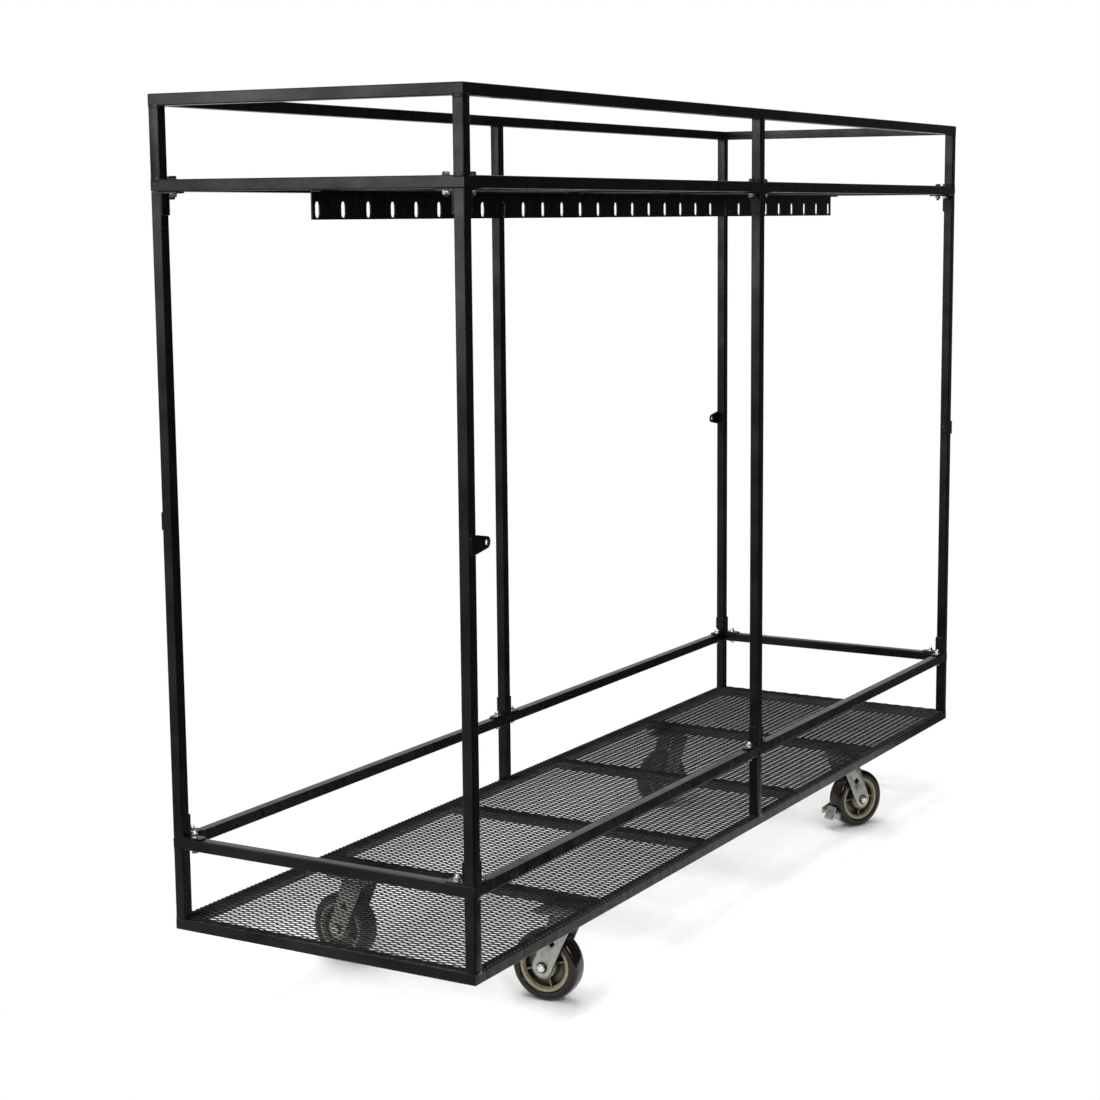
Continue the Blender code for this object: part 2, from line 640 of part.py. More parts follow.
def build():
    guard_drill = bolt_drill("guard_drill", GUARD_FLOOR - TUBE, GUARD_FLOOR + 2 * TUBE)
    top_drill = bolt_drill("top_drill", TOP_FLOOR - TUBE, TOP_FLOOR + 2 * TUBE)

    rectangle("base_rail", FRAME_FLOOR)
    corner_posts("base_post", FRAME_FLOOR + TUBE, GUARD_POST)
    cross_members("cross_member", FRAME_FLOOR)
    deck()
    guard = rectangle("guard_rail", GUARD_FLOOR)

    lower = rectangle("top_lower_rail", TOP_FLOOR)
    corner_posts("top_post", TOP_FLOOR + TUBE, TOP_POST)
    upper = rectangle("top_upper_rail", CROWN_RAIL_FLOOR)
    cross_members("top_cross_bar", TOP_FLOOR)
    hanger_rail()

    for name, (x, y) in middle_points().items():
        side = name.split("_")[0]
        hang_middle_post(guard[side], f"base_post_{name}", x, y, FRAME_FLOOR + TUBE, GUARD_POST)
        hang_middle_post(upper[side], f"top_post_{name}", x, y, TOP_FLOOR + TUBE, TOP_POST)
    for rail in guard.values():
        combine(rail, "DIFFERENCE", guard_drill)
    for rail in lower.values():
        combine(rail, "DIFFERENCE", top_drill)

    drills = (guard_drill, top_drill, eye_drill())
    for name, (x, y) in {**corner_points(), **middle_points()}.items():
        upright(name, x, y, drills)

    first, *_, last = cross_member_positions()
    for side, sign in SIDES.items():
        y = sign * (WIDTH / 2 - CASTER_SETBACK)
        caster(f"{side}_left", first - LEFT_PLATE_OFFSET, y)
        caster(f"{side}_right", last, y)
    shade_round_parts()


clear_scene()
PARTS = collection("hanging_rack")
TOOLS = collection("cutters")
PAINT = material("gloss_black_paint", (0.010, 0.010, 0.011), 0.22, 0.0)
ZINC = material("bright_zinc", (0.60, 0.61, 0.62), 0.32, 1.0)
CORE = material("beige_wheel_core", (0.42, 0.38, 0.24), 0.45, 0.0)
TYRE = material("dark_tyre", (0.020, 0.016, 0.015), 0.25, 0.0)
build()
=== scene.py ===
"""A rolling hanging rack of welded square tube: its finishes, its small parts and its studio."""

import json
import math

import bmesh
import bpy
from mathutils import Matrix, Vector

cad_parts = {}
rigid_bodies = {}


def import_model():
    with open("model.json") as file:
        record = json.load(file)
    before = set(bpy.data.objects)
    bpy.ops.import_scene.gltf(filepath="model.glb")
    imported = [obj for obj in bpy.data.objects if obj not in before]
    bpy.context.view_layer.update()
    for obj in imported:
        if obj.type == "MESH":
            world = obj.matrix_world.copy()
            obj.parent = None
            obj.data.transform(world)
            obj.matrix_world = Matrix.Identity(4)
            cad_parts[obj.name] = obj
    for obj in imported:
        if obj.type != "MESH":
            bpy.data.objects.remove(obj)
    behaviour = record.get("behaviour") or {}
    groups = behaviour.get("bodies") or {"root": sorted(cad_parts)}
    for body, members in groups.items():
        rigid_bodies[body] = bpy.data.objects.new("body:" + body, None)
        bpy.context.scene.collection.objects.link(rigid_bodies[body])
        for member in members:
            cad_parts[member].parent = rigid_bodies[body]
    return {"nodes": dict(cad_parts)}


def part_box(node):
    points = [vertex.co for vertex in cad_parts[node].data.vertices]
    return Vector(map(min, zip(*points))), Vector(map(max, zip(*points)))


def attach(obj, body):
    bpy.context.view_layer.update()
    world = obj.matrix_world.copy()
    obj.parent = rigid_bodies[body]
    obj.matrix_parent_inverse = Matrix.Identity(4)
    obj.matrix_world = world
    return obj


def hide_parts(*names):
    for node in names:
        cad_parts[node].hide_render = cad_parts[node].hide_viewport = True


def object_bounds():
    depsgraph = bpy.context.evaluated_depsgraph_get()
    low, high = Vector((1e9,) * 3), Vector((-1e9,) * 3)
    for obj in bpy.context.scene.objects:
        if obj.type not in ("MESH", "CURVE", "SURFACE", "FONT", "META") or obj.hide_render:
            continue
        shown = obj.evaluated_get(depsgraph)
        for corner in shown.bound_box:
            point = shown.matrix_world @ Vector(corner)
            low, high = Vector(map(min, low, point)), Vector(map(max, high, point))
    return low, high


for leftover in list(bpy.data.objects):
    bpy.data.objects.remove(leftover)

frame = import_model()
CAD_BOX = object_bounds()

MM = 0.001
CORNERS = ("front_left", "front_right", "back_left", "back_right")
BRAKED = ("front_right", "back_right")

# Angle brackets and the bolts through them
BRACKET_LEG = 48 * MM
BRACKET_THICKNESS = 3.2 * MM
BOLT_SETBACK = 24 * MM
BOLT_RADIUS = 4.0 * MM
HEAD_RADIUS = 7.4 * MM
HEAD_HEIGHT = 5.3 * MM
WASHER_RADIUS = 8.6 * MM
WASHER_HEIGHT = 1.6 * MM
NUT_HEIGHT = 6.6 * MM
THREAD_END = 4.5 * MM
THREAD_PITCH = 1.25 * MM
THREAD_ROOT = 0.86  # of the thread's radius
SEAT_GAP = 0.3 * MM  # between a washer and the tube, so that their faces don't share a plane

# Expanded metal of the deck
DIAMOND_SHORT = 14.9 * MM
DIAMOND_LONG = 38.6 * MM
STRAND_WIDTH = 2.2 * MM
STRAND_THICKNESS = 1.1 * MM
STRAND_TILT = math.radians(-56)
BOND = 1.7 * MM
POST_GAP = 1.0 * MM

# Weld beads. A bead is built of rings, and swells once in every few of them, as its drops do.
FLUSH_SKIN = 0.15 * MM
FLUSH_HEIGHT = 9 * MM
BEAD_RING = 1.5 * MM
DROP_RINGS = 3
BEAD_SIDES = 7
BEAD_LEAST = 0.78
BEAD_SWELL = 0.3
BEAD_WANDER = 0.12
BEAD_TIP = 0.35
CORNER_SINK = 0.4 * MM  # how far a bead's middle stands off both faces of an inside corner
TACK_RADIUS = 3.4 * MM
LONG_TACKS = 13
SHORT_TACKS = 4

# Studio. The room is bright on one side, which shows in the tops of the rails.
BRIGHT_SIDE = (0.1, 0.995, 0.0)
BACKDROP = "#ffffff"
FLOOR_MARGIN = 0.4
FADE_START = 0.62
FADE_END = 0.98

# Casters, in a frame whose X trails from the swivel axis and whose Y is the axle
TRAIL = 40 * MM
WHEEL_RADIUS = 82.5 * MM
WHEEL_WIDTH = 50 * MM
TYRE_ROUND = 11 * MM
CORE_RADIUS = 61.8 * MM
CORE_HALF = 22 * MM
RIM_RING = 8.5 * MM
RIM_STEP = 3 * MM
WEB_HALF = 3 * MM
HUB_RADIUS = 29 * MM
HUB_HALF = 28.8 * MM
RIBS = 4
RIB_TURN = {"front_left": 0.3, "front_right": 0.0, "back_left": 0.9, "back_right": 0.5}
RIB_THICKNESS = 4 * MM
AXLE_RADIUS = 6 * MM
FORK_INNER = 29.5 * MM
FORK_OUTER = 33.5 * MM
LEG_TOP_WIDTH = 60 * MM
LEG_TOP_OFFSET = -8 * MM
LEG_END_RADIUS = 23.5 * MM
WINDOW_RADIUS = 10 * MM
WINDOW_ROUND = 2.5 * MM
CROWN_FLOOR = 199.4 * MM
CROWN_THICKNESS = 6 * MM
CROWN_BEND = 5.4 * MM
AXLE_WASHER_RADIUS = 13.5 * MM
AXLE_WASHER_HEIGHT = 1.8 * MM
AXLE_NUT_RADIUS = 10.4 * MM
AXLE_NUT_HEIGHT = 5.4 * MM
LEVER_THICKNESS = 3.5 * MM
LEVER_GAP = 0.8 * MM
LEVER_EYE_RADIUS = 13 * MM
PEDAL_AHEAD = 58 * MM
PEDAL_HEIGHT = 50 * MM
PEDAL_WIDTH = 36 * MM
PEDAL_LENGTH = 38 * MM
PEDAL_THICKNESS = 4 * MM
PEDAL_TILT = math.radians(20)
PEDAL_BAR = 8 * MM
PEDAL_BLOCK = (14 * MM, 14 * MM, 18 * MM)


# ---------------------------------------------------------------- finishes


def linear(hex_colour):
    """The linear colour of an sRGB hex value."""
    channels = [int(hex_colour[k : k + 2], 16) / 255 for k in (1, 3, 5)]
    return (*[c / 12.92 if c <= 0.04045 else ((c + 0.055) / 1.055) ** 2.4 for c in channels], 1.0)


def add_node(tree, kind, inputs=None, **settings):
    """Adds a node with its settings, and fills its inputs with values or links."""
    node = tree.nodes.new(kind)
    for name, value in settings.items():
        setattr(node, name, value)
    for name, value in (inputs or {}).items():
        socket = node.inputs[name]
        if isinstance(value, bpy.types.NodeSocket):
            tree.links.new(value, socket)
        else:
            socket.default_value = value
    return node


def start_material(name):
    """A new material, its output and the coordinates that its patterns follow, in metres."""
    material = bpy.data.materials.new(name)
    material.use_nodes = True
    tree = material.node_tree
    tree.nodes.clear()
    output = add_node(tree, "ShaderNodeOutputMaterial")
    place = add_node(tree, "ShaderNodeTexCoord").outputs["Object"]
    return material, tree, output, place


# Where most of a noise pattern's values lie. Each pattern spreads these over its own range.
MOST_NOISE = {"From Min": 0.3, "From Max": 0.7}


def black_enamel():
    """Gloss black enamel sprayed on welded mild steel: deep black, with the slight orange peel of a
    sprayed film about 3 mm across, specks of dust, and the grinder's marks of the steel showing
    through as slanted streaks in its shine."""
    material, tree, output, place = start_material("sprayed_black_enamel")
    slant = (0.6, 0.75, 0.5)
    fine = add_node(tree, "ShaderNodeMapping", {"Vector": place, "Rotation": slant, "Scale": (220, 14, 30)})
    broad = add_node(tree, "ShaderNodeMapping", {"Vector": place, "Rotation": slant, "Scale": (60, 5, 9)})
    grind = add_node(
        tree, "ShaderNodeTexNoise", {"Vector": fine.outputs["Vector"], "Scale": 1.0, "Detail": 4.0}
    )
    streaks = add_node(
        tree, "ShaderNodeTexNoise", {"Vector": broad.outputs["Vector"], "Scale": 1.0, "Detail": 3.0}
    )
    peel = add_node(tree, "ShaderNodeTexNoise", {"Vector": place, "Scale": 1 / (3 * MM), "Detail": 2.0})
    cloud = add_node(tree, "ShaderNodeTexNoise", {"Vector": place, "Scale": 1 / (60 * MM), "Detail": 3.0})
    dust = add_node(tree, "ShaderNodeTexNoise", {"Vector": place, "Scale": 1 / (1.2 * MM), "Detail": 1.0})
    depth = add_node(tree, "ShaderNodeMapRange", {"Value": cloud.outputs["Fac"], **MOST_NOISE})
    black = add_node(
        tree,
        "ShaderNodeMix",
        {"Factor": depth.outputs["Result"], "A": linear("#070707"), "B": linear("#0c0c0d")},
        data_type="RGBA",
    )
    specks = add_node(
        tree,
        "ShaderNodeMapRange",
        {"Value": dust.outputs["Fac"], "From Min": 0.74, "From Max": 0.8, "To Min": 0.0, "To Max": 0.35},
    )
    dusty = add_node(
        tree,
        "ShaderNodeMix",
        {"Factor": specks.outputs["Result"], "A": black.outputs["Result"], "B": linear("#3a3a38")},
        data_type="RGBA",
    )
    ground = add_node(
        tree,
        "ShaderNodeMapRange",
        {"Value": grind.outputs["Fac"], **MOST_NOISE, "To Min": 0.0, "To Max": 0.10},
    )
    film = add_node(
        tree,
        "ShaderNodeMapRange",
        {"Value": cloud.outputs["Fac"], **MOST_NOISE, "To Min": 0.15, "To Max": 0.24},
    )
    rough = add_node(
        tree, "ShaderNodeMath", {0: ground.outputs["Result"], 1: film.outputs["Result"]}, operation="ADD"
    )
    shine = add_node(
        tree,
        "ShaderNodeMapRange",
        {"Value": streaks.outputs["Fac"], **MOST_NOISE, "To Min": 0.12, "To Max": 0.3},
    )
    marks = add_node(
        tree, "ShaderNodeBump", {"Strength": 0.25, "Distance": 0.12 * MM, "Height": grind.outputs["Fac"]}
    )
    bump = add_node(
        tree,
        "ShaderNodeBump",
        {
            "Strength": 0.3,
            "Distance": 0.08 * MM,
            "Height": peel.outputs["Fac"],
            "Normal": marks.outputs["Normal"],
        },
    )
    shader = add_node(
        tree,
        "ShaderNodeBsdfPrincipled",
        {
            "Base Color": dusty.outputs["Result"],
            "Roughness": rough.outputs["Value"],
            "IOR": 1.5,
            "Specular IOR Level": shine.outputs["Result"],
            "Normal": bump.outputs["Normal"],
        },
    )
    tree.links.new(shader.outputs["BSDF"], output.inputs["Surface"])
    return material


def bright_zinc():
    """Bright zinc plate on pressed steel: a pale grey metal, cloudy where the bath left it duller,
    with the fine rolling marks of the sheet."""
    material, tree, output, place = start_material("bright_zinc_plate")
    stretched = add_node(tree, "ShaderNodeMapping", {"Vector": place, "Scale": (900, 900, 60)})
    rolled = add_node(
        tree, "ShaderNodeTexNoise", {"Vector": stretched.outputs["Vector"], "Scale": 1.0, "Detail": 2.0}
    )
    cloud = add_node(tree, "ShaderNodeTexNoise", {"Vector": place, "Scale": 1 / (12 * MM), "Detail": 4.0})
    dullness = add_node(tree, "ShaderNodeMapRange", {"Value": cloud.outputs["Fac"], **MOST_NOISE})
    grey = add_node(
        tree,
        "ShaderNodeMix",
        {"Factor": dullness.outputs["Result"], "A": linear("#8d8f89"), "B": linear("#b0b2ab")},
        data_type="RGBA",
    )
    bath = add_node(
        tree,
        "ShaderNodeMapRange",
        {"Value": cloud.outputs["Fac"], **MOST_NOISE, "To Min": 0.34, "To Max": 0.46},
    )
    sheet = add_node(
        tree,
        "ShaderNodeMapRange",
        {"Value": rolled.outputs["Fac"], **MOST_NOISE, "To Min": 0.0, "To Max": 0.08},
    )
    rough = add_node(
        tree, "ShaderNodeMath", {0: bath.outputs["Result"], 1: sheet.outputs["Result"]}, operation="ADD"
    )
    bump = add_node(
        tree, "ShaderNodeBump", {"Strength": 0.2, "Distance": 0.05 * MM, "Height": rolled.outputs["Fac"]}
    )
    shader = add_node(
        tree,
        "ShaderNodeBsdfPrincipled",
        {
            "Base Color": grey.outputs["Result"],
            "Metallic": 1.0,
            "Roughness": rough.outputs["Value"],
            "Normal": bump.outputs["Normal"],
        },
    )
    tree.links.new(shader.outputs["BSDF"], output.inputs["Surface"])
    return material


def plated_steel(name, dark, light, smooth, rough):
    """Turned steel under zinc, with a lathe's fine tool marks and a patchy passivation."""
    material, tree, output, place = start_material(name)
    patch = add_node(tree, "ShaderNodeTexNoise", {"Vector": place, "Scale": 1 / (4 * MM), "Detail": 3.0})
    tool = add_node(tree, "ShaderNodeTexNoise", {"Vector": place, "Scale": 1 / (0.8 * MM), "Detail": 1.0})
    blend = add_node(tree, "ShaderNodeMapRange", {"Value": patch.outputs["Fac"], **MOST_NOISE})
    colour = add_node(
        tree,
        "ShaderNodeMix",
        {"Factor": blend.outputs["Result"], "A": linear(dark), "B": linear(light)},
        data_type="RGBA",
    )
    gloss = add_node(
        tree,
        "ShaderNodeMapRange",
        {"Value": patch.outputs["Fac"], **MOST_NOISE, "To Min": smooth, "To Max": rough},
    )
    bump = add_node(
        tree, "ShaderNodeBump", {"Strength": 0.35, "Distance": 0.1 * MM, "Height": tool.outputs["Fac"]}
    )
    shader = add_node(
        tree,
        "ShaderNodeBsdfPrincipled",
        {
            "Base Color": colour.outputs["Result"],
            "Metallic": 1.0,
            "Roughness": gloss.outputs["Result"],
            "Normal": bump.outputs["Normal"],
        },
    )
    tree.links.new(shader.outputs["BSDF"], output.inputs["Surface"])
    return material


def moulded_polyolefin():
    """Moulded khaki polyolefin of the wheel cores: satin, faintly mottled, with the mould's fine grain,
    and painted shade that darkens its recesses towards dark brown."""
    material, tree, output, place = start_material("khaki_moulded_polyolefin")
    cloud = add_node(tree, "ShaderNodeTexNoise", {"Vector": place, "Scale": 1 / (9 * MM), "Detail": 3.0})
    grain = add_node(tree, "ShaderNodeTexNoise", {"Vector": place, "Scale": 1 / (0.7 * MM), "Detail": 2.0})
    mottle = add_node(tree, "ShaderNodeMapRange", {"Value": cloud.outputs["Fac"], **MOST_NOISE})
    khaki = add_node(
        tree,
        "ShaderNodeMix",
        {"Factor": mottle.outputs["Result"], "A": linear("#827d63"), "B": linear("#989276")},
        data_type="RGBA",
    )
    # Painted shade: ambient occlusion turns the khaki towards dark brown in the recesses and corners of the
    # core.
    recess_shade = add_node(tree, "ShaderNodeAmbientOcclusion", {"Distance": 26 * MM}, samples=8)
    unshaded_share = add_node(
        tree, "ShaderNodeMapRange", {"Value": recess_shade.outputs["AO"], "From Min": 0.45, "From Max": 0.95}
    )
    colour = add_node(
        tree,
        "ShaderNodeMix",
        {"Factor": unshaded_share.outputs["Result"], "A": linear("#1f1a10"), "B": khaki.outputs["Result"]},
        data_type="RGBA",
    )
    gloss = add_node(
        tree,
        "ShaderNodeMapRange",
        {"Value": cloud.outputs["Fac"], **MOST_NOISE, "To Min": 0.36, "To Max": 0.5},
    )
    bump = add_node(
        tree, "ShaderNodeBump", {"Strength": 0.25, "Distance": 0.06 * MM, "Height": grain.outputs["Fac"]}
    )
    shader = add_node(
        tree,
        "ShaderNodeBsdfPrincipled",
        {
            "Base Color": colour.outputs["Result"],
            "Roughness": gloss.outputs["Result"],
            "IOR": 1.49,
            "Normal": bump.outputs["Normal"],
        },
    )
    tree.links.new(shader.outputs["BSDF"], output.inputs["Surface"])
    return material


def cast_polyurethane():
    """Dark brown cast polyurethane of the tyres: wet-looking, a little cloudy, scuffed where it runs."""
    material, tree, output, place = start_material("dark_cast_polyurethane")
    cloud = add_node(tree, "ShaderNodeTexNoise", {"Vector": place, "Scale": 1 / (18 * MM), "Detail": 4.0})
    scuff = add_node(tree, "ShaderNodeTexNoise", {"Vector": place, "Scale": 1 / (2.5 * MM), "Detail": 4.0})
    depth = add_node(tree, "ShaderNodeMapRange", {"Value": cloud.outputs["Fac"], **MOST_NOISE})
    brown = add_node(
        tree,
        "ShaderNodeMix",
        {"Factor": depth.outputs["Result"], "A": linear("#100c0c"), "B": linear("#1c1413")},
        data_type="RGBA",
    )
    wet = add_node(
        tree,
        "ShaderNodeMapRange",
        {"Value": cloud.outputs["Fac"], **MOST_NOISE, "To Min": 0.06, "To Max": 0.14},
    )
    worn = add_node(
        tree,
        "ShaderNodeMapRange",
        {"Value": scuff.outputs["Fac"], **MOST_NOISE, "To Min": 0.0, "To Max": 0.06},
    )
    rough = add_node(
        tree, "ShaderNodeMath", {0: wet.outputs["Result"], 1: worn.outputs["Result"]}, operation="ADD"
    )
    bump = add_node(
        tree, "ShaderNodeBump", {"Strength": 0.15, "Distance": 0.1 * MM, "Height": scuff.outputs["Fac"]}
    )
    shader = add_node(
        tree,
        "ShaderNodeBsdfPrincipled",
        {
            "Base Color": brown.outputs["Result"],
            "Roughness": rough.outputs["Value"],
            "IOR": 1.52,
            "Specular IOR Level": 0.3,
            "Normal": bump.outputs["Normal"],
        },
    )
    tree.links.new(shader.outputs["BSDF"], output.inputs["Surface"])
    return material


def floor_paper(half_length, half_width):
    """Matt white backdrop paper. It fades into the backdrop's own white before its edges."""
    material, tree, output, place = start_material("matt_backdrop_paper")
    fibres = add_node(tree, "ShaderNodeTexNoise", {"Vector": place, "Scale": 1 / (40 * MM), "Detail": 2.0})
    blend = add_node(tree, "ShaderNodeMapRange", {"Value": fibres.outputs["Fac"], **MOST_NOISE})
    pale = add_node(
        tree,
        "ShaderNodeMix",
        {"Factor": blend.outputs["Result"], "A": linear("#f0f0ef"), "B": linear("#f4f4f3")},
        data_type="RGBA",
    )
    paper = add_node(
        tree,
        "ShaderNodeBsdfPrincipled",
        {"Base Color": pale.outputs["Result"], "Roughness": 0.95, "IOR": 1.3},
    )
    white = add_node(tree, "ShaderNodeEmission", {"Color": linear(BACKDROP), "Strength": 1.0})
    shares = (1 / half_length, 1 / half_width, 0)
    scaled = add_node(tree, "ShaderNodeMapping", {"Vector": place, "Scale": shares})
    parts = add_node(tree, "ShaderNodeSeparateXYZ", {"Vector": scaled.outputs["Vector"]})
    along = add_node(tree, "ShaderNodeMath", {0: parts.outputs["X"]}, operation="ABSOLUTE")
    across = add_node(tree, "ShaderNodeMath", {0: parts.outputs["Y"]}, operation="ABSOLUTE")
    out = add_node(
        tree, "ShaderNodeMath", {0: along.outputs["Value"], 1: across.outputs["Value"]}, operation="MAXIMUM"
    )
    fade = add_node(
        tree,
        "ShaderNodeMapRange",
        {"Value": out.outputs["Value"], "From Min": FADE_START, "From Max": FADE_END},
        interpolation_type="SMOOTHSTEP",
    )
    mixed = add_node(
        tree,
        "ShaderNodeMixShader",
        {0: fade.outputs["Result"], 1: paper.outputs["BSDF"], 2: white.outputs["Emission"]},
    )
    tree.links.new(mixed.outputs["Shader"], output.inputs["Surface"])
    return material


BRIGHT_STEEL = plated_steel("bright_zinc_on_turned_steel", "#b9bbb8", "#e2e4e2", 0.2, 0.36)
DARK_STEEL = plated_steel("dark_zinc_on_turned_steel", "#2c2b29", "#4c4b47", 0.2, 0.4)
ENAMEL = black_enamel()
ZINC = bright_zinc()
CORE_PLASTIC = moulded_polyolefin()
TYRE_PLASTIC = cast_polyurethane()


# ---------------------------------------------------------------- mesh helpers


def add_shape(target, shape, place=Matrix()):
    """Moves a finished shape into another mesh."""
    mesh = bpy.data.meshes.new("shape")
    shape.transform(place)
    shape.to_mesh(mesh)
    shape.free()
    target.from_mesh(mesh)
    bpy.data.meshes.remove(mesh)


def make_piece(name, bm, finish, body, replaced=(), sharp=35):
    """Turns a mesh into a shown piece that rides on a body."""
    bmesh.ops.recalc_face_normals(bm, faces=bm.faces)
    mesh = bpy.data.meshes.new(name)
    bm.to_mesh(mesh)
    bm.free()
    mesh.materials.append(finish)
    mesh.shade_smooth()
    mesh.set_sharp_from_angle(angle=math.radians(sharp))
    obj = bpy.data.objects.new(name, mesh)
    bpy.context.scene.collection.objects.link(obj)
    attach(obj, body)
    if replaced:
        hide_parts(*replaced)
    return obj


def bevel(bm, edges, amount, segments=2, **settings):
    """Rounds some of a mesh's edges."""
    bmesh.ops.bevel(
        bm,
        geom=edges,
        offset=amount,
        segments=segments,
        profile=0.5,
        affect="EDGES",
        material=-1,
        **settings,
    )


def block(size, rounding=0.0, segments=2):
    """A block with all its edges rounded."""
    bm = bmesh.new()
    bmesh.ops.create_cube(bm, size=1.0, matrix=Matrix.Diagonal((*size, 1)))
    if rounding:
        bevel(bm, bm.edges[:], rounding, segments)
    return bm


def turned(profile, steps, closed=True):
    """A profile of (radius, height) points turned about Z. An open profile ends on the axis."""
    bm = bmesh.new()
    points = [bm.verts.new((radius, 0, height)) for radius, height in profile]
    pairs = list(zip(points, points[1:]))
    if closed:
        pairs.append((points[-1], points[0]))
    lines = [bm.edges.new(pair) for pair in pairs]
    bmesh.ops.spin(
        bm,
        geom=points + lines,
        cent=(0, 0, 0),
        axis=(0, 0, 1),
        angle=2 * math.pi,
        steps=steps,
        use_merge=True,
    )
    bmesh.ops.remove_doubles(bm, verts=bm.verts, dist=0.000001)
    return bm


def arc(centre, radius, start, stop, steps):
    """Points along an arc in a profile, by angle in degrees."""
    angles = [math.radians(start + (stop - start) * k / steps) for k in range(steps + 1)]
    return [(centre[0] + radius * math.cos(a), centre[1] + radius * math.sin(a)) for a in angles]


def hexagon(radius, height):
    """A hexagonal head or nut on the ground, its corners turned down at the top."""
    bm = bmesh.new()
    lift = Matrix.Translation((0, 0, height / 2))
    bmesh.ops.create_cone(
        bm, cap_ends=True, segments=6, radius1=radius, radius2=radius, depth=height, matrix=lift
    )
    rims = [edge for edge in bm.edges if all(vert.co.z > height / 2 for vert in edge.verts)]
    bevel(bm, rims, radius * 0.12)
    return bm


def threaded_end(radius, height):
    """A bolt's end, ringed by its thread, with a chamfered tip."""
    root = radius * THREAD_ROOT
    profile = [(root, 0)]
    for k in range(max(1, round(height / THREAD_PITCH) - 1)):
        profile.append((radius, THREAD_PITCH * (k + 0.5)))
        profile.append((root, THREAD_PITCH * (k + 1)))
    profile += [(radius * 0.92, height - radius * 0.2), (radius * 0.72, height), (0, height)]
    return turned(profile, 16, closed=False)


def washer(radius, bore, height):
    """A flat washer on the ground with softened edges."""
    soft = height * 0.25
    return turned(
        [
            (bore, 0),
            (radius - soft, 0),
            (radius, soft),
            (radius, height - soft),
            (radius - soft, height),
            (bore, height),
        ],
        24,
    )


def hull(parts):
    """The convex shape round several shapes, with its flat faces made whole."""
    bm = bmesh.new()
    for shape, place in parts:
        add_shape(bm, shape, place)
    made = bmesh.ops.convex_hull(bm, input=bm.verts[:])
    inside = made["geom_interior"] + made["geom_unused"]
    spare = [item for item in inside if isinstance(item, bmesh.types.BMVert)]
    bmesh.ops.delete(bm, geom=list(dict.fromkeys(spare)), context="VERTS")
    bmesh.ops.dissolve_limit(bm, angle_limit=math.radians(1), verts=bm.verts, edges=bm.edges)
    return bm


def rod(radius, length, segments=24):
    """A rod along Z, its middle at the origin."""
    bm = bmesh.new()
    bmesh.ops.create_cone(
        bm, cap_ends=True, segments=segments, radius1=radius, radius2=radius, depth=length
    )
    return bm


def round_edges(bm, amount, segments=2, least=30):
    """Rounds the edges that turn by more than an angle in degrees."""
    least = math.radians(least)
    sharp = [edge for edge in bm.edges if edge.is_manifold and edge.calc_face_angle() > least]
    bevel(bm, sharp, amount, segments, clamp_overlap=True)
    return bm


def cut(bm, tool):
    """Cuts one closed shape out of another."""
    objects = []
    for shape in (bm, tool):
        bmesh.ops.recalc_face_normals(shape, faces=shape.faces)
        mesh = bpy.data.meshes.new("cut")
        shape.to_mesh(mesh)
        shape.free()
        objects.append(bpy.data.objects.new("cut", mesh))
        bpy.context.scene.collection.objects.link(objects[-1])
    modifier = objects[0].modifiers.new("cut", "BOOLEAN")
    modifier.operation = "DIFFERENCE"
    modifier.solver = "EXACT"
    modifier.object = objects[1]
    graph = bpy.context.evaluated_depsgraph_get()
    left = bmesh.new()
    left.from_object(objects[0], graph)
    for obj in objects:
        bpy.data.objects.remove(obj)
    return left


ACROSS = Matrix.Rotation(-math.pi / 2, 4, "X")
FLIP = Matrix.Rotation(math.pi, 4, "X")


def post_centre(corner):
    """The middle of a corner post, seen from above."""
    low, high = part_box(f"base_post_{corner}")
    return Vector(((low.x + high.x) / 2, (low.y + high.y) / 2))


POST_LOW, POST_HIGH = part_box("base_post_front_left")
TUBE = POST_HIGH.x - POST_LOW.x


# ---------------------------------------------------------------- deck


